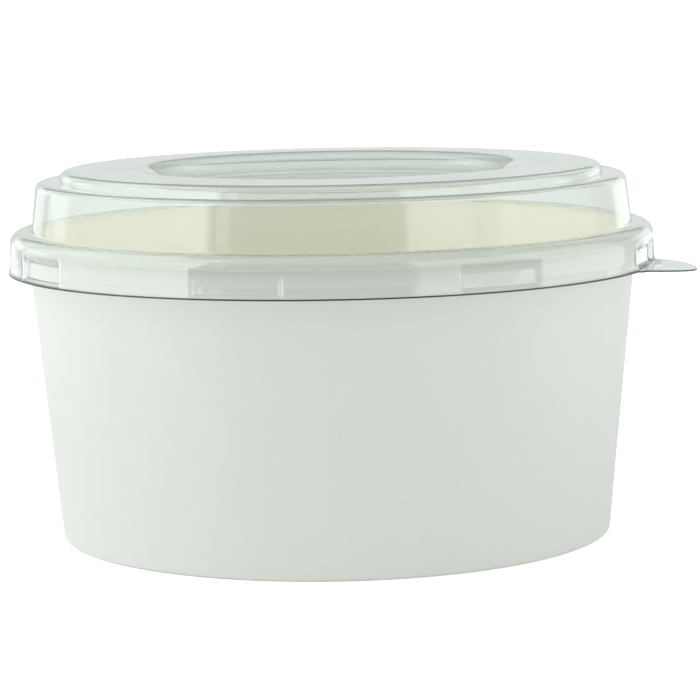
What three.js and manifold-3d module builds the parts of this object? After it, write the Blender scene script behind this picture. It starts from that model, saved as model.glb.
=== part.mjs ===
// A round paper salad bowl closed by a clear press-on lid.
//
// Millimetres, +Z up. The bowl stands on z = 0 and the lid's pull tab points along +X. The origin is
// under the middle of the whole outline, tab included, so the bowl's own axis is a little to its -X side.
//
// Every wall is a thin sheet: one face of it is drawn as a line in the half section (radius, height),
// the sheet's thickness is laid behind that line, and the section is turned about the axis.

import * as THREE from "three";
import { mergeVertices } from "three/addons/utils/BufferGeometryUtils.js";
import Module from "manifold-3d";

const wasm = await Module();
wasm.setup();

// ---------------------------------------------------------------- driving dimensions

const FACETS = 64; // flat faces round every turned piece
const GAP = 0.3; // clear space between neighbouring layers

// Paper bowl
const BOARD = 0.5; // paper board with its lining
const BOWL_HEIGHT = 80;
const FOOT_RADIUS = 72.2; // outer radius of the side wall, carried down to z = 0
const WALL_SLOPE = 0.097; // radius gained for each millimetre of height
const FOOT_FOLD = 0.75; // outer radius of the fold that turns the wall in under the foot
const HEM_HEIGHT = 6.2; // how far the folded edge stands up inside the foot
const CURL_RADIUS = 1.7; // outer radius of the rolled rim
const CURL_END_DEG = -90; // where the roll stops, measured from its outermost point
const BASE_HEIGHT = 7.4; // upper face of the recessed bottom disc
const BASE_FOLD = 0.8; // outer radius of the fold at the disc's edge
const BASE_SKIRT_FOOT = 1.2; // height at which the disc's turned-down edge ends

// Clear lid, outer face
const FILM = 0.4; // thickness of the clear sheet
const FLANGE_RADIUS = 84.7;
const FLANGE_TOP = 70.45;
const FLANGE_FOOT_RADIUS = 84.35; // where the flange turns up into the skirt
const FLARE_TOP = 72.9; // the skirt is flared below this height
const SKIRT_RADIUS = 84.1;
const SHOULDER_HEIGHT = 80.75;
const SHOULDER_FILLET = 3.1;
const SHOULDER_INNER_RADIUS = 79.5;
const RIM_GROOVE_RADIUS = 78.8; // the groove between the shoulder and the middle tier
const RIM_GROOVE_HEIGHT = 80.2;
const MIDDLE_FOOT_RADIUS = 78.45;
const MIDDLE_FOOT_HEIGHT = 80.5;
const MIDDLE_BEND_RADIUS = 77.95; // the tier's taper changes a little at this bend
const MIDDLE_BEND_HEIGHT = 84.9;
const MIDDLE_TOP_RADIUS = 76.95;
const MIDDLE_HEIGHT = 93.27;
const MIDDLE_FILLET = 1.6;
const TOP_GROOVE_RADIUS = 71.05; // the groove between the middle tier and the top tier
const TOP_GROOVE_HEIGHT = 92.35;
const TOP_FOOT_RADIUS = 70.75;
const TOP_FOOT_HEIGHT = 92.6;
const TOP_RADIUS = 70.6;
const TOP_HEIGHT = 96.1;
const TOP_FILLET = 1.9;
const CREASE_RADIUS = 49.3; // the top rises slightly to this crease, then drops into the recess
const CREASE_HEIGHT = 96.4;
const RECESS_RADIUS = 43.5;
const RECESS_HEIGHT = 92.3;

// Catch lugs pressed into the skirt, which catch under the rolled rim
const LUG_COUNT = 8;
const LUG_TURN_DEG = -2; // the lug nearest the tab, measured from the tab
const LUG_HALF_WIDTH = 11.3;
const LUG_DEPTH = 1.2;
const LUG_BOTTOM = 70.95;
const LUG_TOP = 75.1;
const LUG_CORNER = 1.1;
const LUG_OVERLAP = 0.1; // how far a pocket's own sheet is let into the skirt's, so that they join

// Pull tab, a tongue in the plane of the flange
const TAB_REACH = 96; // tip of the tab, measured from the bowl's axis
const TAB_START = 84; // where the tongue's own rounded outline begins
const TAB_HALF_WIDTH = 14;
const TAB_ROUNDNESS = 1.75; // exponent of the tongue's outline: 2 is an ellipse, less is more pointed
const TAB_ROOT_HALF_WIDTH = 17.3; // half width where the root fillets leave the flange
const TAB_FILLET = 2; // how much the fillets widen the tongue at its start
const TAB_FILLET_END = 87; // where the root fillets have run out
const TAB_DROOP = 0.9; // how far the tip hangs below the flange
const TAB_STEPS = 16; // straight pieces in each half of the tongue's outline

// ---------------------------------------------------------------- worked out from them

const CURL_CENTRE_HEIGHT = BOWL_HEIGHT - CURL_RADIUS;
const HEM_INSET = 2 * (BOARD + GAP); // from the wall's outer face to the hem's outer face
const POCKET_RADIUS = SKIRT_RADIUS - LUG_DEPTH; // the outer face of a lug's pocket
const OUTSIDE_RADIUS = FLANGE_RADIUS + GAP; // just clear of the turned part of the lid
const LUG_BAR_START = POCKET_RADIUS - FLANGE_RADIUS / 10; // far enough in for a bar to cross the ring
const AXIS_X = (FLANGE_RADIUS - TAB_REACH) / 2; // puts the origin under the middle of the outline

// ---------------------------------------------------------------- sections and solids

/** Points of a circular arc in the section plane, angles in degrees from the +radius direction. */
function arc(centreRadius, centreHeight, radius, from, to, steps) {
  return Array.from({ length: steps + 1 }, (_, i) => {
    const angle = THREE.MathUtils.degToRad(from + ((to - from) * i) / steps);
    return new THREE.Vector2(
      centreRadius + radius * Math.cos(angle),
      centreHeight + radius * Math.sin(angle),
    );
  });
}

/** One point of a section. */
function at(radius, height) {
  return new THREE.Vector2(radius, height);
}

/** A line moved sideways by a distance to its right, with mitred corners. */
function offset(line, distance) {
  const directions = line.slice(1).map((point, i) => point.clone().sub(line[i]).normalize());
  return line.map((point, i) => {
    const before = directions[Math.max(i - 1, 0)];
    const after = directions[Math.min(i, directions.length - 1)];
    const middle = before.clone().add(after).normalize();
    const right = new THREE.Vector2(middle.y, -middle.x);
    return point.clone().addScaledVector(right, distance / middle.dot(after));
  });
}

/** The section of a sheet: a line along one face, with the thickness laid to the right of it. */
function sheet(face, thickness) {
  return [...offset(face, thickness), ...face.toReversed()];
}

/** The section closed on itself, for a sheet that doesn't reach the axis. */
function closed(section) {
  return [...section, section[0].clone()];
}

/** A section turned about the Z axis. */
function turned(section) {
  return new THREE.LatheGeometry(section, FACETS).rotateX(Math.PI / 2);
}

/** A closed geometry as a solid that can be joined and cut. */
function solidOf(geometry) {
  const bare = geometry.clone().deleteAttribute("normal").deleteAttribute("uv");
  const merged = mergeVertices(bare, 1e-4);
  return new wasm.Manifold(
    new wasm.Mesh({
      numProp: 3,
      vertProperties: merged.attributes.position.array,
      triVerts: new Uint32Array(merged.index.array),
    }),
  );
}

/** A solid back as a geometry. */
function geometryOf(solid) {
  const mesh = solid.getMesh();
  const geometry = new THREE.BufferGeometry();
  geometry.setAttribute("position", new THREE.BufferAttribute(mesh.vertProperties, mesh.numProp));
  geometry.setIndex(new THREE.BufferAttribute(mesh.triVerts, 1));
  geometry.computeVertexNormals();
  return geometry;
}

// ---------------------------------------------------------------- paper bowl

/** Outer radius of the tapered side wall at a height. */
function wallRadius(height) {
  return FOOT_RADIUS + WALL_SLOPE * height;
}

/**
 * The side wall in one sheet, from the end of the rolled rim, round the roll, down the tapered wall,
 * round under the foot and up the hem inside it. The line runs along the wall's outer face.
 */
function bowlWall() {
  const hemRadius = (height) => wallRadius(height) - HEM_INSET - BOARD;
  const curlCentre = wallRadius(CURL_CENTRE_HEIGHT) - BOARD + CURL_RADIUS;
  const face = [
    ...arc(curlCentre, CURL_CENTRE_HEIGHT, CURL_RADIUS - BOARD, CURL_END_DEG, 180, 6),
    ...arc(wallRadius(FOOT_FOLD) - FOOT_FOLD, FOOT_FOLD, FOOT_FOLD, 0, -90, 2),
    ...arc(hemRadius(FOOT_FOLD) + FOOT_FOLD, FOOT_FOLD, FOOT_FOLD, -90, -180, 2),
    at(hemRadius(HEM_HEIGHT), HEM_HEIGHT),
  ];
  return turned(closed(sheet(face, BOARD)));
}

/** The bottom disc, set up inside the foot, with its edge turned down between wall and hem. */
function bowlBase() {
  const skirtRadius = (height) => wallRadius(height) - BOARD - GAP;
  const foldHeight = BASE_HEIGHT - BASE_FOLD;
  const face = [
    at(0, BASE_HEIGHT),
    ...arc(skirtRadius(foldHeight) - BASE_FOLD, foldHeight, BASE_FOLD, 90, 0, 2),
    at(skirtRadius(BASE_SKIRT_FOOT), BASE_SKIRT_FOOT),
  ];
  return turned(sheet(face, BOARD));
}

// ---------------------------------------------------------------- clear lid

/** The lid without its lugs and tab: the recess, two tiers, the shoulder, the skirt and the flange. */
function lidShell() {
  const face = [
    at(0, RECESS_HEIGHT),
    at(RECESS_RADIUS, RECESS_HEIGHT),
    at(CREASE_RADIUS, CREASE_HEIGHT),
    ...arc(TOP_RADIUS - TOP_FILLET, TOP_HEIGHT - TOP_FILLET, TOP_FILLET, 90, 0, 3),
    at(TOP_FOOT_RADIUS, TOP_FOOT_HEIGHT),
    at(TOP_GROOVE_RADIUS, TOP_GROOVE_HEIGHT),
    ...arc(
      MIDDLE_TOP_RADIUS - MIDDLE_FILLET,
      MIDDLE_HEIGHT - MIDDLE_FILLET,
      MIDDLE_FILLET,
      90,
      0,
      3,
    ),
    at(MIDDLE_BEND_RADIUS, MIDDLE_BEND_HEIGHT),
    at(MIDDLE_FOOT_RADIUS, MIDDLE_FOOT_HEIGHT),
    at(RIM_GROOVE_RADIUS, RIM_GROOVE_HEIGHT),
    at(SHOULDER_INNER_RADIUS, SHOULDER_HEIGHT),
    ...arc(
      SKIRT_RADIUS - SHOULDER_FILLET,
      SHOULDER_HEIGHT - SHOULDER_FILLET,
      SHOULDER_FILLET,
      90,
      0,
      4,
    ),
    at(SKIRT_RADIUS, FLARE_TOP),
    at(FLANGE_FOOT_RADIUS, FLANGE_TOP),
    at(FLANGE_RADIUS, FLANGE_TOP),
  ];
  return turned(sheet(face, FILM));
}

/** A turned ring of square section, between two radii, taller than a lug. */
function ring(inner, outer) {
  const low = LUG_BOTTOM - LUG_CORNER;
  const high = LUG_TOP + LUG_CORNER;
  return turned(closed([at(inner, low), at(outer, low), at(outer, high), at(inner, high)]));
}

/** A bar that runs out through the skirt, with a rounded rectangle as section, grown by some margin. */
function lugBar(margin) {
  const half = LUG_HALF_WIDTH + margin;
  const low = LUG_BOTTOM - margin;
  const high = LUG_TOP + margin;
  const corner = LUG_CORNER + margin;
  const outline = new THREE.Shape();
  outline.absarc(half - corner, low + corner, corner, -Math.PI / 2, 0);
  outline.absarc(half - corner, high - corner, corner, 0, Math.PI / 2);
  outline.absarc(corner - half, high - corner, corner, Math.PI / 2, Math.PI);
  outline.absarc(corner - half, low + corner, corner, Math.PI, Math.PI * 1.5);
  const bar = new THREE.ExtrudeGeometry(outline, {
    depth: OUTSIDE_RADIUS - LUG_BAR_START,
    bevelEnabled: false,
    curveSegments: 3,
  });
  return bar.rotateX(Math.PI / 2).rotateZ(Math.PI / 2).translate(LUG_BAR_START, 0, 0);
}

/** All the lugs' bars cut to a ring between two radii: the space, or the body, of every lug. */
function lugBodies(margin, inner, outer) {
  const bar = solidOf(lugBar(margin));
  const bars = Array.from({ length: LUG_COUNT }, (_, i) =>
    bar.rotate([0, 0, LUG_TURN_DEG + (360 * i) / LUG_COUNT]),
  );
  return wasm.Manifold.union(bars).intersect(solidOf(ring(inner, outer)));
}

/** The pull tab: a drooping tongue whose root is faired into the flange. */
function pullTab() {
  const rootRadius = FLANGE_RADIUS - FILM;
  const rootAngle = Math.asin(TAB_ROOT_HALF_WIDTH / rootRadius);
  const side = Array.from({ length: TAB_STEPS + 1 }, (_, i) => {
    const t = (i / TAB_STEPS) * (Math.PI / 2);
    const x = TAB_START + (TAB_REACH - TAB_START) * Math.sin(t) ** (2 / TAB_ROUNDNESS);
    const fillet = Math.max(0, (TAB_FILLET_END - x) / (TAB_FILLET_END - TAB_START));
    const y = TAB_HALF_WIDTH * Math.cos(t) ** (2 / TAB_ROUNDNESS);
    return at(x, y + TAB_FILLET * fillet ** 2);
  });
  const outline = new THREE.Shape();
  outline.absarc(0, 0, rootRadius, rootAngle, -rootAngle, true);
  side.forEach((point) => outline.lineTo(point.x, -point.y));
  const wayBack = side.toReversed().slice(1);
  wayBack.forEach((point) => outline.lineTo(point.x, point.y));
  const tab = new THREE.ExtrudeGeometry(outline, {
    depth: FILM,
    bevelEnabled: false,
    curveSegments: 8,
  });
  const points = tab.attributes.position;
  for (let i = 0; i < points.count; i += 1) {
    const along = Math.max(0, points.getX(i) - FLANGE_RADIUS) / (TAB_REACH - FLANGE_RADIUS);
    points.setZ(i, points.getZ(i) + FLANGE_TOP - FILM - TAB_DROOP * along ** 2);
  }
  return tab;
}

/** The whole lid: the shell, with a pocket of the same sheet pressed in at each lug, and the tab. */
function lid() {
  const pockets = lugBodies(0, POCKET_RADIUS, OUTSIDE_RADIUS);
  const trays = lugBodies(FILM, POCKET_RADIUS - FILM, SKIRT_RADIUS - LUG_OVERLAP);
  const shell = solidOf(lidShell()).add(solidOf(pullTab()));
  return geometryOf(shell.add(trays).subtract(pockets));
}

// ---------------------------------------------------------------- finishes and assembly

const paper = { color: 0xf3f5f1, roughness: 0.75, metalness: 0 };
const clearPlastic = { color: 0xe3e9e2, roughness: 0.08, metalness: 0, transparent: true, opacity: 0.3 };

/** A named piece with a finish of its own. */
function piece(name, geometry, finish) {
  const mesh = new THREE.Mesh(geometry, new THREE.MeshStandardMaterial(finish));
  mesh.name = name;
  return mesh;
}

const pack = new THREE.Group();
pack.add(piece("bowl_wall", bowlWall(), paper));
pack.add(piece("bowl_base", bowlBase(), paper));
pack.add(piece("lid", lid(), clearPlastic));
pack.position.x = AXIS_X;

const group = new THREE.Group();
group.add(pack);

export default group;
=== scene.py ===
"""A round paper salad bowl with a clear thermoformed lid pressed on it, in a plain pale studio.

Every surface here is a thin sheet turned about the bowl's own axis: a line in the half section (radius,
height), the sheet's thickness behind it, and a grid of points that carries the section round. What isn't
round, such as the lid's catch lugs and pull tab and the paper's side seam, moves points of that grid.
Sizes are millimetres until a mesh is made, when they become metres in the row frame.
"""

import logging
import math
from collections.abc import Sequence
from dataclasses import dataclass, field
from enum import Enum

import bmesh
import bpy
import numpy as np
from mathutils import Matrix, Vector


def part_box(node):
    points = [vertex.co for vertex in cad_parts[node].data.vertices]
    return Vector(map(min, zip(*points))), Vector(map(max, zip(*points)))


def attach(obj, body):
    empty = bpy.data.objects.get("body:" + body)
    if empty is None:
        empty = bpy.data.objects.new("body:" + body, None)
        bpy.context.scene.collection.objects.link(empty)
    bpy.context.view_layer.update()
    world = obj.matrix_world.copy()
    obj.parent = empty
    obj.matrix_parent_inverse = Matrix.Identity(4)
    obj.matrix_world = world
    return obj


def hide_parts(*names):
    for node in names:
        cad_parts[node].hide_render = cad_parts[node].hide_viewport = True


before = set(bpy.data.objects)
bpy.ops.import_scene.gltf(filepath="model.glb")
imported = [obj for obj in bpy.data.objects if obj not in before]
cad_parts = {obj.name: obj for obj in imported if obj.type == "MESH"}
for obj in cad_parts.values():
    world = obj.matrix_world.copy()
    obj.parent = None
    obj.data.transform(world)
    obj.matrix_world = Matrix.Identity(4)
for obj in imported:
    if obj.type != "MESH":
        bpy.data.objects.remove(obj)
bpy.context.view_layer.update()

MM = 0.001
ARC_STEP_DEG = 13.0  # turn between two points of a fillet
GUARD = 0.18  # rows set this close to a fillet's ends keep the flat beside it flat in the shading
STRAIGHT_DEG = 1.0  # a corner that turns less than this isn't rounded
SHARP_DEG = 40.0  # a cut edge is sharper than this, and a fillet's facets are not
LOOKS_UP = 0.3  # a face whose normal rises more than this looks up
FULL_TURN = 2 * math.pi
SAME_BEARING = 1e-4  # radians; columns closer than this are one
PET_REFRACTION = 1.575
COLOUR_A, COLOUR_B, COLOUR_OUT = 6, 7, 2  # a Mix node's sockets for colours

log = logging.getLogger("salad_bowl")


# ------------------------------------------------------------------ sections, grids and meshes


@dataclass(frozen=True)
class Corner:
    """A corner of a section line, with the radius that rounds it."""

    radius: float
    height: float
    fillet: float = 0.0


def unit(vector: np.ndarray) -> np.ndarray:
    """The vectors of the last axis, each divided by its length."""
    return vector / np.linalg.norm(vector, axis=-1, keepdims=True)


def smooth_step(x: np.ndarray) -> np.ndarray:
    """0 below 0, 1 above 1, and 6x^5 - 15x^4 + 10x^3 between, which has no kink at either end."""
    t = np.clip(x, 0.0, 1.0)
    return t**3 * (t * (6 * t - 15) + 10)


def arc(centre: tuple[float, float], radius: np.ndarray | float, degrees: np.ndarray) -> np.ndarray:
    """Points at centre plus radius times (cosine, sine) of each angle.

    Args:
        centre: (radius, height) of the arc's centre in the section.
        radius: one radius, or one for each angle, which makes a spiral.
        degrees: angles measured from the outward direction.

    Returns:
        One (radius, height) row for each angle.
    """
    turn = np.radians(degrees)
    return np.array(centre) + np.stack([radius * np.cos(turn), radius * np.sin(turn)], axis=1)


def rounded_line(corners: Sequence[Corner]) -> np.ndarray:
    """A line through the corners, each rounded by an arc tangent to both of its sides.

    The arc starts fillet * tan(turn / 2) before the corner and its centre lies one fillet to the side.

    Args:
        corners: the corners in order; the first and last stay as they are.

    Returns:
        One (radius, height) row for each point, with guard points beside the arcs.
    """
    spots = np.array([[c.radius, c.height] for c in corners])
    sides = np.diff(spots, axis=0)
    ways = unit(sides)
    cross = ways[:-1, 0] * ways[1:, 1] - ways[:-1, 1] * ways[1:, 0]
    turns = np.arctan2(cross, np.sum(ways[:-1] * ways[1:], axis=1))
    fillets = np.array([c.fillet for c in corners[1:-1]]) * (np.abs(turns) > math.radians(STRAIGHT_DEG))
    reaches = np.concatenate([[0.0], fillets * np.tan(np.abs(turns) / 2), [0.0]])
    free = np.linalg.norm(sides, axis=1) - reaches[:-1] - reaches[1:]
    guards = np.minimum(GUARD, free / 3)
    parts = [spots[:1]]
    for k, (turn, fillet) in enumerate(zip(turns, fillets), start=1):
        if fillet == 0:
            parts.append(spots[k : k + 1])
            continue
        before, after = ways[k - 1], ways[k]
        start = spots[k] - before * reaches[k]
        centre = start + math.copysign(fillet, turn) * np.array([-before[1], before[0]])
        first = math.degrees(math.atan2(*(start - centre)[::-1]))
        steps = max(2, math.ceil(abs(math.degrees(turn)) / ARC_STEP_DEG))
        angles = np.linspace(first, first + math.degrees(turn), steps + 1)
        parts.append((start - before * guards[k - 1])[None])
        parts.append(arc(tuple(centre), fillet, angles))
        parts.append((spots[k] + after * (reaches[k] + guards[k]))[None])
    parts.append(spots[-1:])
    return np.concatenate(parts)


def set_off(line: np.ndarray, distance: float) -> np.ndarray:
    """The line moved to its right: each point goes distance / cos(half the turn) along its mitre.

    Args:
        line: (radius, height) rows.
        distance: how far each of its sides moves.

    Returns:
        The same number of rows.
    """
    ways = unit(np.diff(line, axis=0))
    before = np.concatenate([ways[:1], ways])
    after = np.concatenate([ways, ways[-1:]])
    middle = unit(before + after)
    right = np.stack([middle[:, 1], -middle[:, 0]], axis=1)
    return line + right * (distance / np.sum(middle * after, axis=1))[:, None]


def even_bearings(count: int) -> np.ndarray:
    """The bearings of columns that stand evenly all round, in radians."""
    return np.arange(count) * FULL_TURN / count


def signed_bearings(bearings: np.ndarray) -> np.ndarray:
    """The same bearings, from minus half a turn to half a turn."""
    return (bearings + math.pi) % FULL_TURN - math.pi


def turned_grid(section: np.ndarray, bearings: np.ndarray) -> np.ndarray:
    """The section carried round the axis: (r cos b, r sin b, z) for each section point and bearing.

    Args:
        section: (radius, height) rows.
        bearings: one for each column, in radians.

    Returns:
        rows x columns x 3.
    """
    radius, height = section[:, :1], section[:, 1:]
    rounds = np.ones_like(bearings)
    return np.stack([radius * np.cos(bearings), radius * np.sin(bearings), height * rounds], axis=2)


def pushed_out(grid: np.ndarray, distance: np.ndarray) -> np.ndarray:
    """The grid with each point moved away from the axis by its own distance.

    Args:
        grid: rows x columns x 3.
        distance: rows x columns.

    Returns:
        A new grid.
    """
    moved = grid.copy()
    moved[..., :2] += unit(grid[..., :2]) * distance[..., None]
    return moved


def mesh_piece(name: str, grid: np.ndarray, poles: bool, axis_x: float) -> bpy.types.Object:
    """A closed mesh from a grid of section rows and bearing columns.

    Columns always close on themselves. Rows close on themselves too, unless the first and last row lie on
    the axis: then each of those is one point with a fan of triangles.

    Args:
        name: the piece's name.
        grid: rows x columns x 3, in millimetres about the bowl's own axis.
        poles: True if the first and last row lie on the axis.
        axis_x: where the bowl's axis stands in the row frame, in metres.

    Returns:
        The new object, at the origin of the row frame.
    """
    rows, columns = grid.shape[:2]
    index = np.arange(rows * columns).reshape(rows, columns)
    below = index[1:-2] if poles else index
    above = index[2:-1] if poles else np.roll(index, -1, axis=0)
    beside, above_beside = np.roll(below, -1, axis=1), np.roll(above, -1, axis=1)
    faces = np.stack([below, above, above_beside, beside], axis=2).reshape(-1, 4).tolist()
    if poles:
        top, bottom = index[1], index[-2]
        peak, foot = np.full(columns, index[0, 0]), np.full(columns, index[-1, 0])
        faces += np.stack([peak, top, np.roll(top, -1)], axis=1).tolist()
        faces += np.stack([foot, np.roll(bottom, -1), bottom], axis=1).tolist()
    points = grid.reshape(-1, 3) * MM + np.array([axis_x, 0.0, 0.0])
    mesh = bpy.data.meshes.new(name)
    mesh.from_pydata(points.tolist(), [], faces)
    if poles:
        drop_points(mesh, np.concatenate([index[0, 1:], index[-1, 1:]]))
    mesh.validate()
    mesh.shade_smooth()
    mesh.set_sharp_from_angle(angle=math.radians(SHARP_DEG))
    piece = bpy.data.objects.new(name, mesh)
    bpy.context.scene.collection.objects.link(piece)
    return piece


def drop_points(mesh: bpy.types.Mesh, spare: np.ndarray) -> None:
    """Deletes points that no face uses: a pole's row keeps its first point only.

    Args:
        mesh: the mesh to thin.
        spare: the indices of the points to delete.
    """
    work = bmesh.new()
    work.from_mesh(mesh)
    work.verts.ensure_lookup_table()
    bmesh.ops.delete(work, geom=[work.verts[i] for i in spare.tolist()], context="VERTS")
    work.to_mesh(mesh)
    work.free()


# ------------------------------------------------------------------ finishes


def linear(colour_hex: str) -> tuple[float, float, float, float]:
    """An sRGB colour as the linear colour that a shader takes.

    Args:
        colour_hex: the colour, written as #RRGGBB.

    Returns:
        Red, green, blue and a full alpha.
    """
    parts = np.array([int(colour_hex[i : i + 2], 16) for i in (1, 3, 5)]) / 255
    light = np.where(parts <= 0.04045, parts / 12.92, ((parts + 0.055) / 1.055) ** 2.4)
    return (*light.tolist(), 1.0)


def add_node(
    tree: bpy.types.NodeTree,
    kind: str,
    settings: dict[str, object] | None = None,
    inputs: dict[str | int, object] | None = None,
) -> bpy.types.Node:
    """Adds one node to a tree.

    Args:
        tree: the tree it joins.
        kind: the node's type, such as "ShaderNodeTexNoise".
        settings: the node's own properties.
        inputs: for each input, a plain value, or (node, output name or number) to link from.

    Returns:
        The new node.
    """
    node = tree.nodes.new(kind)
    for key, value in (settings or {}).items():
        setattr(node, key, value)
    for key, value in (inputs or {}).items():
        if isinstance(value, tuple) and isinstance(value[0], bpy.types.Node):
            tree.links.new(value[0].outputs[value[1]], node.inputs[key])
        else:
            node.inputs[key].default_value = value
    return node


def new_material(name: str) -> tuple[bpy.types.Material, bpy.types.NodeTree]:
    """An empty node material and its tree."""
    material = bpy.data.materials.new(name)
    material.use_nodes = True
    material.node_tree.nodes.clear()
    return material, material.node_tree


@dataclass(frozen=True)
class BoardFinish:
    """Bleached paper board: matt to satin, with the faint cloudiness and tooth of its fibres."""

    name: str
    colour: str
    cloud_colour: str  # where the fibres lie a little thicker
    roughness: float
    tooth_mm: float  # height of the surface's tooth, which breaks up the highlight
    cloud_size_mm: float = 7.0
    fibre_size_mm: float = 0.9  # real fibres are finer; drawn as coarse as the render can show
    gloss_spread: float = 0.06  # how far the roughness strays to either side

    def make(self) -> bpy.types.Material:
        """Builds the material: two scales of noise for colour and roughness, the finer one as bump too.

        Returns:
            The material.
        """
        material, tree = new_material(self.name)
        where = add_node(tree, "ShaderNodeTexCoord")
        cloud = add_node(
            tree,
            "ShaderNodeTexNoise",
            inputs={"Vector": (where, "Object"), "Scale": 1 / (self.cloud_size_mm * MM), "Detail": 3.0},
        )
        fibre = add_node(
            tree,
            "ShaderNodeTexNoise",
            inputs={"Vector": (where, "Object"), "Scale": 1 / (self.fibre_size_mm * MM), "Detail": 2.0},
        )
        both = add_node(
            tree,
            "ShaderNodeMix",
            inputs={"Factor": 0.5, "A": (cloud, "Fac"), "B": (fibre, "Fac")},
        )
        tone = add_node(
            tree,
            "ShaderNodeMix",
            {"data_type": "RGBA"},
            {
                "Factor": (both, "Result"),
                COLOUR_A: linear(self.colour),
                COLOUR_B: linear(self.cloud_colour),
            },
        )
        gloss = add_node(
            tree,
            "ShaderNodeMapRange",
            inputs={
                "Value": (both, "Result"),
                "To Min": self.roughness - self.gloss_spread,
                "To Max": self.roughness + self.gloss_spread,
            },
        )
        tooth = add_node(
            tree,
            "ShaderNodeBump",
            inputs={"Height": (fibre, "Fac"), "Distance": self.tooth_mm * MM, "Strength": 1.0},
        )
        shader = add_node(
            tree,
            "ShaderNodeBsdfPrincipled",
            inputs={
                "Base Color": (tone, COLOUR_OUT),
                "Roughness": (gloss, "Result"),
                "IOR": 1.5,
                "Normal": (tooth, "Normal"),
            },
        )
        add_node(tree, "ShaderNodeOutputMaterial", inputs={"Surface": (shader, "BSDF")})
        return material


@dataclass(frozen=True)
class ClearSheetFinish:
    """Thermoformed clear PET: glossy on both faces, with the slow waves that drawing leaves in it."""

    name: str
    tint: str
    passed_light: str  # colour of the light that it casts on what is under it
    roughness: float
    wave_mm: float  # height of the waves
    wave_size_mm: float
    haze: float  # share of light that the sheet scatters
    refraction: float = PET_REFRACTION

    def make(self) -> bpy.types.Material:
        """Builds the material: a glass-like sheet that the light on its way to the bowl passes straight.

        A sheet of 0.4 mm doesn't turn that light far enough to matter. Only what the eye sees in the
        sheet and through it is mirrored and bent.

        Returns:
            The material.
        """
        material, tree = new_material(self.name)
        where = add_node(tree, "ShaderNodeTexCoord")
        waves = add_node(
            tree,
            "ShaderNodeTexNoise",
            inputs={"Vector": (where, "Object"), "Scale": 1 / (self.wave_size_mm * MM), "Detail": 1.0},
        )
        bump = add_node(
            tree,
            "ShaderNodeBump",
            inputs={"Height": (waves, "Fac"), "Distance": self.wave_mm * MM, "Strength": 1.0},
        )
        sheet = add_node(
            tree,
            "ShaderNodeBsdfPrincipled",
            inputs={
                "Base Color": linear(self.tint),
                "Roughness": self.roughness,
                "IOR": self.refraction,
                "Transmission Weight": 1.0 - self.haze,
                "Normal": (bump, "Normal"),
            },
        )
        through = add_node(tree, "ShaderNodeBsdfTransparent", inputs={"Color": linear(self.passed_light)})
        path = add_node(tree, "ShaderNodeLightPath")
        soft = add_node(
            tree,
            "ShaderNodeMath",
            {"operation": "MAXIMUM"},
            {0: (path, "Is Shadow Ray"), 1: (path, "Is Diffuse Ray")},
        )
        mixed = add_node(
            tree,
            "ShaderNodeMixShader",
            inputs={0: (soft, "Value"), 1: (sheet, "BSDF"), 2: (through, "BSDF")},
        )
        add_node(tree, "ShaderNodeOutputMaterial", inputs={"Surface": (mixed, "Shader")})
        return material


@dataclass(frozen=True)
class CutEdgePaintedShadeFinish:
    """The sheet's punched edge, painted dark as shade: light that enters the clear edge is led away in the
    sheet, and the dark colour stands in for that.
    """

    name: str
    colour: str
    roughness: float

    def make(self) -> bpy.types.Material:
        """Builds the material: a dark, half-matt surface, which is painted shade.

        Returns:
            The material.
        """
        material, tree = new_material(self.name)
        shader = add_node(
            tree,
            "ShaderNodeBsdfPrincipled",
            inputs={"Base Color": linear(self.colour), "Roughness": self.roughness, "IOR": PET_REFRACTION},
        )
        add_node(tree, "ShaderNodeOutputMaterial", inputs={"Surface": (shader, "BSDF")})
        return material


class Ply(Enum):
    """Which face of the paper board a material slot stands for."""

    OUTSIDE = 0
    LINING = 1
    # the roll's outward and lower faces: the same board, painted greyer as shade under the lid's shoulder
    ROLL = 2


def dress_plies(piece: bpy.types.Object, plies: np.ndarray) -> None:
    """Gives a board piece its finishes.

    Args:
        piece: the piece, with faces in the order of its grid's rows.
        plies: for each face, the value of its Ply.
    """
    for ply in Ply:
        piece.data.materials.append(BOARD_PLIES[ply].make())
    piece.data.polygons.foreach_set("material_index", plies.astype(np.int32))


# ------------------------------------------------------------------ paper bowl


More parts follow.
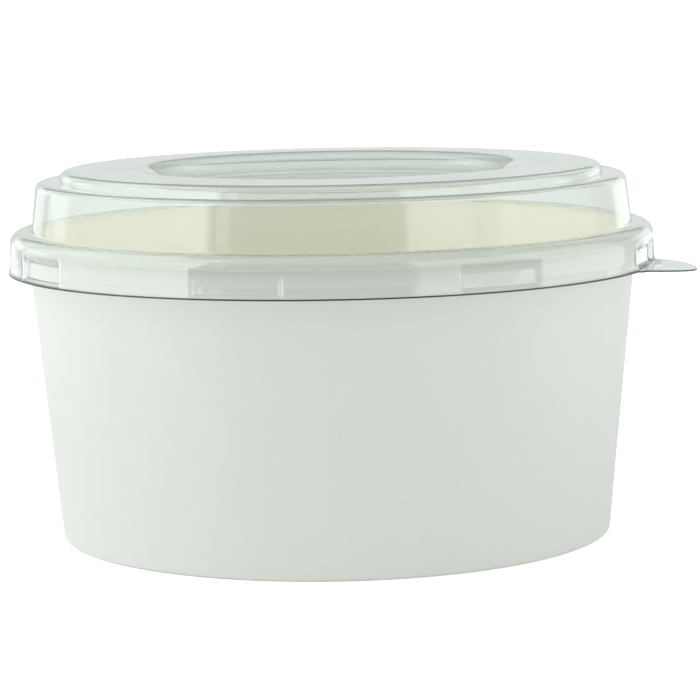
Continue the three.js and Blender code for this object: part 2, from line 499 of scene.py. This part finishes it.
@dataclass
class PaperWall:
    """The tapered side wall: one blank of board, lapped, rolled at the rim and folded at the foot."""

    axis_x: float
    board: float = 0.5
    glue_gap: float = 0.06
    height: float = 80.0
    foot_radius: float = 72.2
    slope: float = 0.097
    foot_fold: float = 0.75
    hem_height: float = 6.2
    roll_radius: float = 1.7
    roll_tuck: float = 0.62  # how much tighter the roll has become at its tucked end
    tuck_start_deg: float = -40.0  # the roll grows tighter from here
    tuck_turn_deg: float = 150.0  # over this much of a turn
    roll_start_deg: float = 180.0  # angles in the roll, measured from its outermost point
    roll_end_deg: float = -250.0
    lining_end_deg: float = 75.0  # the lining goes over the roll's crest to here
    seam_bearing_deg: float = 165.0
    seam_width: float = 9.0
    seam_lift: float = 0.34  # the lapped ply is pressed in as it is glued, so it's under one board
    seam_fade: float = 7.0
    seam_pair: float = 0.06  # gap between the two columns that make a cut edge
    lap_clear: float = 3.2  # the lap's relief has faded this far under the rim
    lap_fade_top: float = 4.0
    lap_fade_foot: float = 3.0
    slack: float = 0.02  # a point this far off the wall's two faces still counts as on it
    off_roll: float = 1.2  # the wall's even rows stop this far under the roll's middle
    off_fold: float = 0.6  # and this far above the fold's, and the hem's at half of it
    roll_rows: int = 44
    wall_rows: int = 12
    fold_rows: int = 7
    hem_rows: int = 3
    columns: int = 384

    def outer_radius(self, height: np.ndarray | float) -> np.ndarray | float:
        """Radius of the wall's outer face, which grows by the slope for each millimetre up."""
        return self.foot_radius + self.slope * height

    def roll(self) -> np.ndarray:
        """The roll, from its tucked end to the wall: a spiral whose radius eases from tight to full.

        Returns:
            One (radius, height) row for each point.
        """
        middle_height = self.height - self.roll_radius
        middle = self.outer_radius(middle_height) - self.board + self.roll_radius
        angles = np.linspace(self.roll_end_deg, self.roll_start_deg, self.roll_rows)
        tuck = self.roll_tuck * smooth_step((self.tuck_start_deg - angles) / self.tuck_turn_deg)
        return arc((middle, middle_height), self.roll_radius - self.board - tuck, angles)

    def outer_line(self) -> np.ndarray:
        """The outer face's line: round the roll, down the wall, round the foot and up the hem.

        Returns:
            One (radius, height) row for each point.
        """
        hem_inset = 2 * (self.board + self.glue_gap) + self.board
        fold, top = self.foot_fold, self.height - self.roll_radius
        heights = np.linspace(top - self.off_roll, fold + self.off_fold, self.wall_rows)
        wall = np.stack([self.outer_radius(heights), heights], axis=1)
        turn = np.linspace(0.0, -90.0, self.fold_rows)
        out = arc((self.outer_radius(fold) - fold, fold), fold, turn)
        back = arc((self.outer_radius(fold) - hem_inset + fold, fold), fold, turn - 90.0)
        rise = np.linspace(fold + self.off_fold / 2, self.hem_height, self.hem_rows)
        hem = np.stack([self.outer_radius(rise) - hem_inset, rise], axis=1)
        return np.concatenate([self.roll(), wall, out, back, hem])

    def bearings(self) -> np.ndarray:
        """Bearings of the columns: even all round, with pairs set close at the seam's two cut edges.

        Returns:
            The bearings in radians, in order.
        """
        edges = math.radians(self.seam_bearing_deg) + np.array([0.0, self.seam_width]) / self.foot_radius
        close = np.array([-0.5, 0.5]) * self.seam_pair / self.foot_radius
        pairs = (edges[:, None] + close).ravel()
        return np.sort(np.concatenate([even_bearings(self.columns), pairs]) % FULL_TURN)

    def lapped(self, grid: np.ndarray, bearings: np.ndarray, rows: int) -> np.ndarray:
        """The grid with the seam's lap in it.

        The outer face steps out at the outer ply's cut edge and eases back past the lap. The inner face
        eases in before the lap and steps back at the inner ply's cut edge.

        Args:
            grid: the turned grid, outer face first.
            bearings: the columns' bearings.
            rows: how many rows the outer face has.

        Returns:
            The moved grid.
        """
        along = signed_bearings(bearings - math.radians(self.seam_bearing_deg)) * self.foot_radius
        outside = (along > 0) * smooth_step((self.seam_width + self.seam_fade - along) / self.seam_fade)
        inside = (along < self.seam_width) * smooth_step((along + self.seam_fade) / self.seam_fade)
        height = grid[:, :1, 2]
        radius = np.hypot(grid[:, :1, 0], grid[:, :1, 1])
        on_wall = np.abs(radius - self.outer_radius(height)) < self.board + self.slack
        below_rim = smooth_step((self.height - self.lap_clear - height) / self.lap_fade_top)
        reach = on_wall * below_rim * smooth_step(height / self.lap_fade_foot)
        signed = np.concatenate([np.repeat(outside[None], rows, 0), np.repeat(-inside[None], rows, 0)])
        return pushed_out(grid, signed * reach * self.seam_lift)

    def build(self) -> bpy.types.Object:
        """Makes the wall, lined on its inner face and over the roll's crest, with the rest of the roll
        painted greyer as shade.

        Returns:
            The finished piece.
        """
        line = self.outer_line()
        section = np.concatenate([line, set_off(line, self.board)[::-1]])
        bearings = self.bearings()
        grid = self.lapped(turned_grid(section, bearings), bearings, len(line))
        piece = mesh_piece("paper_side_wall", grid, poles=False, axis_x=self.axis_x)
        rows, rolled = np.arange(len(section)), self.roll_rows
        plies = np.where(rows < len(line), Ply.OUTSIDE.value, Ply.LINING.value)
        lined_turn = self.roll_start_deg - self.lining_end_deg
        over_crest = round(rolled * lined_turn / (self.roll_start_deg - self.roll_end_deg))
        # past the lining, the roll gets the greyer finish: painted shade where it faces out and down
        plies[(rows < rolled) | (rows >= len(section) - rolled + over_crest)] = Ply.ROLL.value
        dress_plies(piece, np.repeat(plies, len(bearings)))
        return piece


@dataclass
class PaperBase:
    """The bottom disc, set up inside the foot, its edge turned down between the wall and the hem."""

    axis_x: float
    wall: PaperWall
    height: float = 7.4
    fold: float = 0.8
    skirt_foot: float = 1.2
    rings: tuple[float, ...] = (0.0, 12.0, 30.0, 50.0, 64.0)  # radii of the flat part's rows
    lined_above: float = 1.0  # faces that look up are lined, down to this far under the disc
    columns: int = 256

    def build(self) -> bpy.types.Object:
        """Makes the disc, lined on its upper face.

        Returns:
            The finished piece.
        """
        gap = self.wall.board + self.wall.glue_gap
        edge = float(self.wall.outer_radius(self.height)) - gap
        foot = float(self.wall.outer_radius(self.skirt_foot)) - gap
        inner = [Corner(radius, self.height) for radius in self.rings]
        line = rounded_line([*inner, Corner(edge, self.height, self.fold), Corner(foot, self.skirt_foot)])
        section = np.concatenate([line, set_off(line, self.wall.board)[::-1]])
        section[-1, 0] = 0.0
        grid = turned_grid(section, even_bearings(self.columns))
        piece = mesh_piece("paper_base", grid, poles=True, axis_x=self.axis_x)
        normals, centres = np.zeros((2, len(piece.data.polygons), 3))
        piece.data.polygons.foreach_get("normal", normals.ravel())
        piece.data.polygons.foreach_get("center", centres.ravel())
        high = centres[:, 2] > (self.height - self.lined_above) * MM
        lined = high & (normals[:, 2] > LOOKS_UP)
        dress_plies(piece, np.where(lined, Ply.LINING.value, Ply.OUTSIDE.value))
        return piece


# ------------------------------------------------------------------ clear lid


@dataclass
class CatchLugs:
    """Pockets pressed into the skirt, which catch under the rolled rim."""

    count: int = 8
    turn_deg: float = -2.0
    half_width: float = 11.1
    end_ramp: float = 1.9
    depth: float = 1.2
    bottom: float = 70.55
    bottom_ramp: float = 0.9
    top: float = 77.5
    top_ramp: float = 2.7
    skirt_radius: float = 84.1
    ramp_columns: int = 8
    ramp_share: float = 0.6  # columns reach this share of a ramp to both sides of its middle

    def bearings(self) -> np.ndarray:
        """Bearings of extra columns over the ends of every lug.

        Returns:
            The bearings in radians, in no order.
        """
        centres = math.radians(self.turn_deg) + even_bearings(self.count)
        spread = np.linspace(-self.ramp_share, self.ramp_share, self.ramp_columns)
        ramp = self.half_width + self.end_ramp * spread
        offsets = np.concatenate([-ramp, ramp]) / self.skirt_radius
        return (centres[:, None] + offsets).ravel()

    def push(self, bearings: np.ndarray, heights: np.ndarray) -> np.ndarray:
        """How far each point goes in: the depth times an ease along the skirt times an ease up it.

        Args:
            bearings: the columns' bearings.
            heights: each grid point's height, rows x columns.

        Returns:
            Distances towards the axis, rows x columns, as negative numbers.
        """
        pitch = FULL_TURN / self.count
        around = (bearings - math.radians(self.turn_deg) + pitch / 2) % pitch - pitch / 2
        along = np.abs(around) * self.skirt_radius
        ends = smooth_step((self.half_width - along) / self.end_ramp + 0.5)
        rise = smooth_step((self.top - heights) / self.top_ramp)
        fall = smooth_step((heights - self.bottom) / self.bottom_ramp)
        return -self.depth * ends * rise * fall


@dataclass
class PullTab:
    """A tongue in the plane of the flange: a rounded end, and sides faired into the flange's edge."""

    flange_radius: float = 84.7
    reach: float = 96.0
    start: float = 84.0
    half_width: float = 14.0
    roundness: float = 1.75  # exponent of the outline: 2 is an ellipse, and less is more pointed
    root_half_width: float = 17.4
    fairing_end: float = 87.2
    droop: float = 0.9
    crease_radius: float = 85.5
    crease_depth: float = 0.16
    crease_width: float = 0.4
    fairing_pull: float = 0.5  # the curve's handles, as a share of the way that it spans
    tongue_start: float = 0.02  # share of the quarter turn of t at which the tongue's points start
    tongue_points: int = 160
    fairing_points: int = 40
    columns: int = 64

    def half_outline(self) -> np.ndarray:
        """One side of the outline, from the flange's edge to the tip.

        The tongue is x = start + (reach - start) sin(t)^(2/n), y = half width cos(t)^(2/n). A cubic
        curve, tangent to the flange's circle and to the tongue, fairs the two together.

        Returns:
            One (x, y) row for each point.
        """
        t = np.linspace(self.tongue_start, 1.0, self.tongue_points) * math.pi / 2
        power = 2 / self.roundness
        tongue = np.stack(
            [
                self.start + (self.reach - self.start) * np.sin(t) ** power,
                self.half_width * np.cos(t) ** power,
            ],
            axis=1,
        )
        tongue = tongue[tongue[:, 0] >= self.fairing_end]
        bearing = self.root_bearing()
        root = self.flange_radius * np.array([math.cos(bearing), math.sin(bearing)])
        off = np.array([math.sin(bearing), -math.cos(bearing)])
        on = unit(tongue[1] - tongue[0])
        pull = self.fairing_pull * np.linalg.norm(tongue[0] - root)
        knots = np.stack([root, root + off * pull, tongue[0] - on * pull, tongue[0]])
        s = np.linspace(0.0, 1.0, self.fairing_points)[:, None]
        weights = np.concatenate([(1 - s) ** 3, 3 * s * (1 - s) ** 2, 3 * s**2 * (1 - s), s**3], axis=1)
        return np.concatenate([(weights @ knots)[:-1], tongue])

    def root_bearing(self) -> float:
        """Bearing at which the outline leaves the flange's circle."""
        return math.asin(self.root_half_width / self.flange_radius)

    def edge(self, bearings: np.ndarray) -> np.ndarray:
        """Where the sheet's cut edge is for each column: on the flange's circle, or on the tab.

        Across the tab the outline is shared out evenly by its length, so that the columns fan out.

        Args:
            bearings: the columns' bearings.

        Returns:
            One (x, y) row for each column.
        """
        signed = signed_bearings(bearings)
        share = 1 - np.abs(signed) / self.root_bearing()
        half = self.half_outline()
        length = np.concatenate([[0.0], np.cumsum(np.linalg.norm(np.diff(half, axis=0), axis=1))])
        wanted = np.clip(share, 0.0, 1.0) * length[-1]
        x = np.interp(wanted, length, half[:, 0])
        y = np.interp(wanted, length, half[:, 1]) * np.sign(signed)
        circle = self.flange_radius * np.stack([np.cos(bearings), np.sin(bearings)], axis=1)
        return np.where((share > 0)[:, None], np.stack([x, y], axis=1), circle)

    def bearings(self) -> np.ndarray:
        """Bearings of the columns across the tab, which replace the even ones there."""
        return np.linspace(-self.root_bearing(), self.root_bearing(), self.columns + 1)

    def sag(self, points: np.ndarray) -> np.ndarray:
        """How far each point hangs: the droop times the square of its way out, and the crease's dip.

        Args:
            points: (x, y) on the last axis.

        Returns:
            One distance for each point.
        """
        out = np.hypot(points[..., 0], points[..., 1]) - self.flange_radius
        way = np.clip(out / (self.reach - self.flange_radius), 0.0, 1.0)
        off_crease = (out + self.flange_radius - self.crease_radius) / self.crease_width
        return self.droop * way**2 + self.crease_depth * np.exp(-(off_crease**2)) * (out > 0)


@dataclass
class ClearLid:
    """The lid: a dished top, two tiers, a shoulder over the rim, a skirt with lugs, a flange and a tab."""

    axis_x: float
    film: float = 0.4
    lugs: CatchLugs = field(default_factory=CatchLugs)
    tab: PullTab = field(default_factory=PullTab)
    flange_top: float = 70.45
    flange_foot_radius: float = 84.35
    skirt_radius: float = 84.1
    flare_top: float = 72.9
    skirt_rows_top: float = 76.2
    skirt_rows: int = 8  # rows that the lugs need in the skirt
    flare_rows: int = 6
    off_flare: tuple[float, ...] = (0.5, 0.4, 0.35)  # rows' gaps: over and under its top, over its foot
    lugs_from_radius: float = 80.0  # only points beyond this belong to the skirt
    columns: int = 320
    edge_rows: int = 7

    def upper_line(self) -> np.ndarray:
        """The outer face's line, from the middle of the dish to where the flange begins.

        In order: the dish, the top, the first tier, the second tier, the groove, the shoulder over the
        rim, the skirt with the rows that its lugs need, and the flare at its foot.

        Returns:
            One (radius, height) row for each point.
        """
        above, below, foot = self.off_flare
        skirt_heights = np.linspace(self.skirt_rows_top, self.flare_top + above, self.skirt_rows)
        skirt = [Corner(self.skirt_radius, float(z)) for z in skirt_heights]
        flare_heights = np.linspace(self.flare_top - below, self.flange_top + foot, self.flare_rows)
        widening = self.flange_foot_radius - self.skirt_radius
        falls = (self.flare_top - flare_heights) / (self.flare_top - self.flange_top)
        flare_radii = self.skirt_radius + widening * falls
        flare = [Corner(float(r), float(z)) for r, z in zip(flare_radii, flare_heights)]
        return rounded_line(
            [
                Corner(0.0, 92.3),
                Corner(20.0, 92.3),
                Corner(38.0, 92.3),
                Corner(43.5, 92.3, 7.0),
                Corner(49.3, 96.4, 8.0),
                Corner(60.0, 96.25),
                Corner(70.6, 96.1, 1.9),
                Corner(70.85, 92.3, 0.55),
                Corner(75.0, 93.27, 2.0),
                Corner(76.95, 93.27, 1.6),
                Corner(77.95, 84.9, 4.0),
                Corner(78.5, 80.15, 0.55),
                Corner(79.9, 80.75, 1.2),
                Corner(84.1, 80.75, 3.1),
                *skirt,
                Corner(self.skirt_radius, self.flare_top),
                *flare,
                Corner(self.flange_foot_radius, self.flange_top),
            ]
        )

    def bearings(self) -> np.ndarray:
        """Bearings of the columns: even all round, closer over the lugs' ends and across the tab.

        Returns:
            The bearings in radians, in order.
        """
        every = np.concatenate([even_bearings(self.columns), self.lugs.bearings()])
        off_tab = np.abs(signed_bearings(every)) > self.tab.root_bearing() + SAME_BEARING
        found = np.sort(np.concatenate([every[off_tab], self.tab.bearings()]) % FULL_TURN)
        return found[np.concatenate([[True], np.diff(found) > SAME_BEARING])]

    def flange(self, rim: np.ndarray, bearings: np.ndarray) -> np.ndarray:
        """Rows from the skirt's foot to the cut edge, in straight lines, sagging over the tab.

        Args:
            rim: the skirt's last row, columns x 3.
            bearings: the columns' bearings.

        Returns:
            edge_rows x columns x 3.
        """
        edge = self.tab.edge(bearings)
        share = np.linspace(0.0, 1.0, self.edge_rows + 1)[1:, None, None]
        flat = rim[None, :, :2] * (1 - share) + edge[None] * share
        height = rim[None, :, 2:] - self.tab.sag(flat)[..., None]
        return np.concatenate([flat, height], axis=2)

    def build(self) -> bpy.types.Object:
        """Makes the lid as one closed sheet of even thickness.

        Returns:
            The finished piece.
        """
        line = self.upper_line()
        bearings = self.bearings()
        upper = turned_grid(line, bearings)
        lower = turned_grid(set_off(line, self.film), bearings)
        heights = upper[..., 2]
        in_skirt = np.hypot(upper[..., 0], upper[..., 1]) > self.lugs_from_radius
        push = self.lugs.push(bearings, heights) * in_skirt
        upper, lower = pushed_out(upper[1:], push[1:]), pushed_out(lower[1:], push[1:])
        top_pole = np.broadcast_to([0.0, 0.0, line[0, 1]], upper[:1].shape)
        low_pole = top_pole - np.array([0.0, 0.0, self.film])
        flange_up = self.flange(upper[-1], bearings)
        flange_low = flange_up - np.array([0.0, 0.0, self.film])
        grid = np.concatenate(
            [top_pole, upper, flange_up, flange_low[::-1], lower[:-1][::-1], low_pole]
        )
        piece = mesh_piece("clear_lid", grid, poles=True, axis_x=self.axis_x)
        piece.data.materials.append(CLEAR_PET.make())
        # second slot: the cut edge, painted dark as shade
        piece.data.materials.append(CUT_EDGE_PAINTED_SHADE.make())
        edge_row = len(upper) + self.edge_rows - 1
        cut = np.zeros(len(piece.data.polygons), dtype=np.int32)
        cut[edge_row * len(bearings) : (edge_row + 1) * len(bearings)] = 1
        piece.data.polygons.foreach_set("material_index", cut)
        return piece


# ------------------------------------------------------------------ studio


@dataclass(frozen=True)
class SoftLight:
    """A lit part of the surroundings, far from the bowl, with soft edges.

    Bearings are seen from above: 0 is towards the camera, and positive is to its right.
    """

    name: str
    bearing_deg: float
    half_width_deg: float
    elevation_deg: float
    half_height_deg: float
    radiance: float
    edge_deg: float = 2.0
    lean: float = 0.0  # share by which the light is brighter at its end of larger bearing


@dataclass(frozen=True)
class TableGlow:
    """A painted pool of light on the table: a part that glows, as a table shines up before a soft light
    that stands on it.
    """

    name: str
    bearing_deg: float
    half_width_deg: float
    radiance: float
    near: float = 0.3  # metres from the bowl's axis
    fade: float = 0.1
    edge_deg: float = 2.0
    lean: float = 0.0


def calculate(tree: bpy.types.NodeTree, operation: str, *values: object) -> tuple[bpy.types.Node, str]:
    """A maths node's result, ready to link from."""
    return add_node(tree, "ShaderNodeMath", {"operation": operation}, dict(enumerate(values))), "Value"


def part_along(tree: bpy.types.NodeTree, where: object, way: Vector) -> tuple[bpy.types.Node, str]:
    """How far a place or direction goes along a way: their dot product."""
    inputs = {0: where, 1: tuple(way)}
    return add_node(tree, "ShaderNodeVectorMath", {"operation": "DOT_PRODUCT"}, inputs), "Value"


def ease_between(
    tree: bpy.types.NodeTree, value: object, none_at: float, full_at: float
) -> tuple[bpy.types.Node, str]:
    """0 where the value is none_at, 1 where it is full_at, and eased between."""
    inputs = {"Value": value, "From Min": none_at, "From Max": full_at}
    return add_node(tree, "ShaderNodeMapRange", {"interpolation_type": "SMOOTHSTEP"}, inputs), "Result"


def nearness(
    tree: bpy.types.NodeTree,
    angle: object,
    middle_deg: float,
    half_deg: float,
    edge_deg: float,
    lean: float = 0.0,
) -> tuple[bpy.types.Node, str]:
    """How much of a light lies at an angle.

    It is 1 within the range and 0 outside it, eased over the edges, and it changes evenly across the
    range from 1 - lean to 1 + lean.

    Args:
        tree: the tree that works it out.
        angle: the angle, in radians.
        middle_deg: the middle of the range.
        half_deg: half its width.
        edge_deg: half the width over which each edge is eased.
        lean: how much brighter than the middle the end of larger angle is.

    Returns:
        The result, ready to link from.
    """
    off = calculate(tree, "SUBTRACT", angle, math.radians(middle_deg))
    off = calculate(tree, "WRAP", off, math.pi, -math.pi)
    ends = [math.radians(half_deg + side * edge_deg) for side in (1, -1)]
    inside = ease_between(tree, calculate(tree, "ABSOLUTE", off), *ends)
    share = calculate(tree, "MULTIPLY_ADD", off, lean / math.radians(half_deg), 1.0)
    return calculate(tree, "MULTIPLY", inside, share)


@dataclass
class Studio:
    """The floor, the light all round, the light from above and the camera at the photograph's angle."""

    axis_x: float
    view_turn_deg: float = 14.0  # the tab points this far behind the camera's right
    camera_distance: float = 0.7919
    camera_height: float = 0.15225
    pitch: float = 0.13203
    yaw: float = 0.00533
    roll: float = -0.01806
    focal_share: float = 3026 / 700  # focal length over the frame's width
    sensor: float = 36.0
    floor_size: float = 60.0
    foot_glow_end: float = 0.17  # metres from the bowl's axis
    foot_glow_full: float = 0.09
    overhead_spread_deg: float = 110.0

    def direction(self, bearing_deg: float) -> Vector:
        """A level direction, at a bearing from the way to the camera, positive to its right."""
        turn = math.radians(bearing_deg + self.view_turn_deg)
        return Vector((math.sin(turn), -math.cos(turn), 0.0))

    def camera(self) -> None:
        """Sets the camera up from its distance, height and three angles about the bowl's axis."""
        turn = Matrix.Rotation(math.radians(self.view_turn_deg), 3, "Z")
        ahead = Vector(
            (
                math.sin(self.yaw) * math.cos(self.pitch),
                math.cos(self.yaw) * math.cos(self.pitch),
                -math.sin(self.pitch),
            )
        )
        right = Vector((math.cos(self.yaw), -math.sin(self.yaw), 0.0))
        up = right.cross(ahead)
        across = math.cos(self.roll) * right + math.sin(self.roll) * up
        upright = math.cos(self.roll) * up - math.sin(self.roll) * right
        axes = turn @ Matrix((across, upright, -ahead)).transposed()
        spot = turn @ Vector((0.0, -self.camera_distance, self.camera_height))
        lens = bpy.data.cameras.new("camera")
        lens.sensor_width = self.sensor
        lens.lens = self.focal_share * self.sensor
        lens.clip_start, lens.clip_end = 0.05, 200.0
        holder = bpy.data.objects.new("camera", lens)
        holder.matrix_world = Matrix.Translation(spot + Vector((self.axis_x, 0, 0))) @ axes.to_4x4()
        bpy.context.scene.collection.objects.link(holder)
        bpy.context.scene.camera = holder

    def bearing(self, tree: bpy.types.NodeTree, where: object) -> tuple[bpy.types.Node, str]:
        """The bearing of a place or direction in radians, 0 towards the camera."""
        to_right = part_along(tree, where, self.direction(90.0))
        return calculate(tree, "ARCTAN2", to_right, part_along(tree, where, self.direction(0.0)))

    def floor(self) -> None:
        """A wide pale floor with painted light: it glows a little by the foot, which lifts the shade
        there, and more in pools before the lights.

        The camera sees it as the white ground of a product photograph. What the clear lid mirrors, or
        shows behind it, is the dimmer floor that lights the bowl.
        """
        half = self.floor_size / 2
        mesh = bpy.data.meshes.new("floor")
        corners = [(-half, -half, 0), (half, -half, 0), (half, half, 0), (-half, half, 0)]
        mesh.from_pydata(corners, [], [(0, 1, 2, 3)])
        material, tree = new_material("pale_floor")
        where = (add_node(tree, "ShaderNodeTexCoord"), "Object")
        centred = add_node(
            tree, "ShaderNodeVectorMath", {"operation": "SUBTRACT"}, {0: where, 1: (self.axis_x, 0.0, 0.0)}
        )
        away = add_node(tree, "ShaderNodeVectorMath", {"operation": "LENGTH"}, {0: (centred, "Vector")})
        bearing = self.bearing(tree, (centred, "Vector"))
        # painted light: emission by the foot and in pools before the lights
        by_foot = ease_between(tree, (away, "Value"), self.foot_glow_end, self.foot_glow_full)
        total = calculate(tree, "MULTIPLY", by_foot, FOOT_PAINTED_GLOW)
        for patch in TABLE_PAINTED_LIGHT_POOLS:
            across = nearness(
                tree, bearing, patch.bearing_deg, patch.half_width_deg, patch.edge_deg, patch.lean
            )
            beyond = ease_between(tree, (away, "Value"), patch.near, patch.near + patch.fade)
            glow = calculate(tree, "MULTIPLY", calculate(tree, "MULTIPLY", across, beyond), patch.radiance)
            glow[0].label = patch.name
            total = calculate(tree, "ADD", total, glow)
        seen = calculate(
            tree, "MULTIPLY", (add_node(tree, "ShaderNodeLightPath"), "Is Camera Ray"), FLOOR_SEEN_GLOW
        )
        shader = add_node(
            tree,
            "ShaderNodeBsdfPrincipled",
            inputs={
                "Base Color": linear(FLOOR_COLOUR),
                "Roughness": 1.0,
                "Specular IOR Level": 0.0,
                "Emission Color": linear("#FFFFFF"),
                "Emission Strength": calculate(tree, "MAXIMUM", total, seen),
            },
        )
        add_node(tree, "ShaderNodeOutputMaterial", inputs={"Surface": (shader, "BSDF")})
        mesh.materials.append(material)
        floor = bpy.data.objects.new("floor", mesh)
        bpy.context.scene.collection.objects.link(floor)

    def surroundings(self) -> None:
        """Dim room light with the soft lights in it, added up."""
        world = bpy.data.worlds.new("room")
        world.use_nodes = True
        tree = world.node_tree
        tree.nodes.clear()
        where = (add_node(tree, "ShaderNodeTexCoord"), "Generated")
        bearing = self.bearing(tree, where)
        elevation = calculate(tree, "ARCSINE", part_along(tree, where, Vector((0.0, 0.0, 1.0))))
        total: object = ROOM_RADIANCE
        for light in SOFT_LIGHTS:
            across = nearness(
                tree, bearing, light.bearing_deg, light.half_width_deg, light.edge_deg, light.lean
            )
            upward = nearness(tree, elevation, light.elevation_deg, light.half_height_deg, light.edge_deg)
            glow = calculate(tree, "MULTIPLY", calculate(tree, "MULTIPLY", across, upward), light.radiance)
            glow[0].label = light.name
            total = calculate(tree, "ADD", total, glow)
        inputs = {"Color": linear(LIGHT_COLOUR), "Strength": total}
        back = add_node(tree, "ShaderNodeBackground", inputs=inputs)
        add_node(tree, "ShaderNodeOutputWorld", inputs={"Surface": (back, "Background")})
        bpy.context.scene.world = world

    def overhead(self) -> None:
        """Very soft light from straight above, which the glossy lid doesn't mirror."""
        lamp = bpy.data.lights.new("overhead_light", "SUN")
        lamp.energy = OVERHEAD_RADIANCE * math.pi
        lamp.angle = math.radians(self.overhead_spread_deg)
        lamp.color = linear(LIGHT_COLOUR)[:3]
        holder = bpy.data.objects.new("overhead_light", lamp)
        holder.visible_glossy = False
        holder.visible_transmission = False
        bpy.context.scene.collection.objects.link(holder)

    def build(self) -> None:
        """Sets up everything that isn't the object."""
        self.floor()
        self.surroundings()
        self.overhead()
        self.camera()
        bpy.context.scene.view_settings.view_transform = "Standard"


# The outside is bare white board, the inside has a thin satin film that looks creamier, and the roll is
# the same
# board painted a little greyer: painted shade where it faces out and down under the lid's shoulder.
BOARD_PLIES = {
    Ply.OUTSIDE: BoardFinish("bleached_board", "#E1E2DD", "#DBDCD8", roughness=0.45, tooth_mm=0.012),
    Ply.LINING: BoardFinish("lined_board_inside", "#F8F4E6", "#F4F0E1", roughness=0.34, tooth_mm=0.006),
    Ply.ROLL: BoardFinish("rolled_board_painted_shade", "#DFE0DB", "#DADBD6", roughness=0.4, tooth_mm=0.008),
}
CLEAR_PET = ClearSheetFinish(
    "clear_pet_sheet",
    "#F8FBFA",
    passed_light="#F3F3F0",
    roughness=0.02,
    wave_mm=0.008,
    wave_size_mm=20.0,
    haze=0.05,
)
# the cut edge's dark colour is painted shade for the light led away in the clear sheet
CUT_EDGE_PAINTED_SHADE = CutEdgePaintedShadeFinish("pet_cut_edge_painted_shade", "#33372B", roughness=0.45)

LIGHT_COLOUR = "#F9FFFC"
ROOM_RADIANCE = 0.32
OVERHEAD_RADIANCE = 0.345  # in irradiance over pi, as an even sky of this radiance would give
SOFT_LIGHTS = [
    SoftLight("backdrop", 180.0, 60.0, 0.0, 12.0, radiance=0.5),
    SoftLight("left_light", -92.4, 45.6, 12.0, 20.0, radiance=1.5, lean=0.55),
    SoftLight("left_high", -94.0, 44.0, 47.0, 15.0, radiance=1.2),
    SoftLight("left_sliver", -41.1, 2.5, 12.0, 20.0, radiance=0.7, edge_deg=1.0),
    SoftLight("left_strip", -149.5, 9.0, 17.5, 27.5, radiance=0.5, edge_deg=5.0),
    SoftLight("right_front_light", 41.0, 13.0, 12.0, 20.0, radiance=1.48),
    SoftLight("right_middle_light", 60.0, 6.0, 12.0, 20.0, radiance=1.15),
    SoftLight("right_light", 93.0, 27.0, 12.0, 20.0, radiance=1.15, lean=-0.4),
    SoftLight("right_high", 93.0, 27.0, 47.0, 15.0, radiance=0.27),
    SoftLight("right_strip", 148.5, 10.5, 17.5, 27.5, radiance=0.35, edge_deg=5.0),
    SoftLight("front_high", 0.0, 50.0, 50.0, 15.0, radiance=0.2),
    SoftLight("back_high", 180.0, 60.0, 40.0, 25.0, radiance=0.08),
]
# pools of painted light on the floor, before the soft lights
TABLE_PAINTED_LIGHT_POOLS = [
    TableGlow("left_pool", -92.4, 45.6, radiance=1.2, lean=0.68),
    TableGlow("right_front_pool", 41.0, 13.0, radiance=0.8),
    TableGlow("right_middle_pool", 60.0, 6.0, radiance=0.75),
    TableGlow("right_pool", 93.0, 27.0, radiance=1.1, lean=-0.4),
    TableGlow("left_strip_pool", -151.0, 7.5, radiance=0.4, edge_deg=3.0),
    TableGlow("right_strip_pool", 148.5, 10.5, radiance=0.6, edge_deg=3.0),
]
FLOOR_COLOUR = "#DCDCDC"
FOOT_PAINTED_GLOW = 0.15  # painted light close round the foot, which lifts the shade there
FLOOR_SEEN_GLOW = 0.5  # enough to make the ground white to the camera, as the photograph's is


def main() -> None:
    """Builds the bowl's pieces and the studio."""
    logging.basicConfig(level=logging.INFO, format="%(name)s: %(message)s")
    low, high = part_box("bowl_wall")
    axis_x = (low.x + high.x) / 2
    wall = PaperWall(axis_x)
    made = {
        "bowl_wall": (wall, "lined_board"),
        "bowl_base": (PaperBase(axis_x, wall), "lined_board"),
        "lid": (ClearLid(axis_x), "clear_plastic"),
    }
    for node, (maker, slot) in made.items():
        piece = maker.build()
        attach(piece, "root")
        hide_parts(node)
        log.info("%s stands for %s: %d faces", piece.name, node, len(piece.data.polygons))
    Studio(axis_x).build()
    log.info("studio set up")


if __name__ == "__main__":
    main()
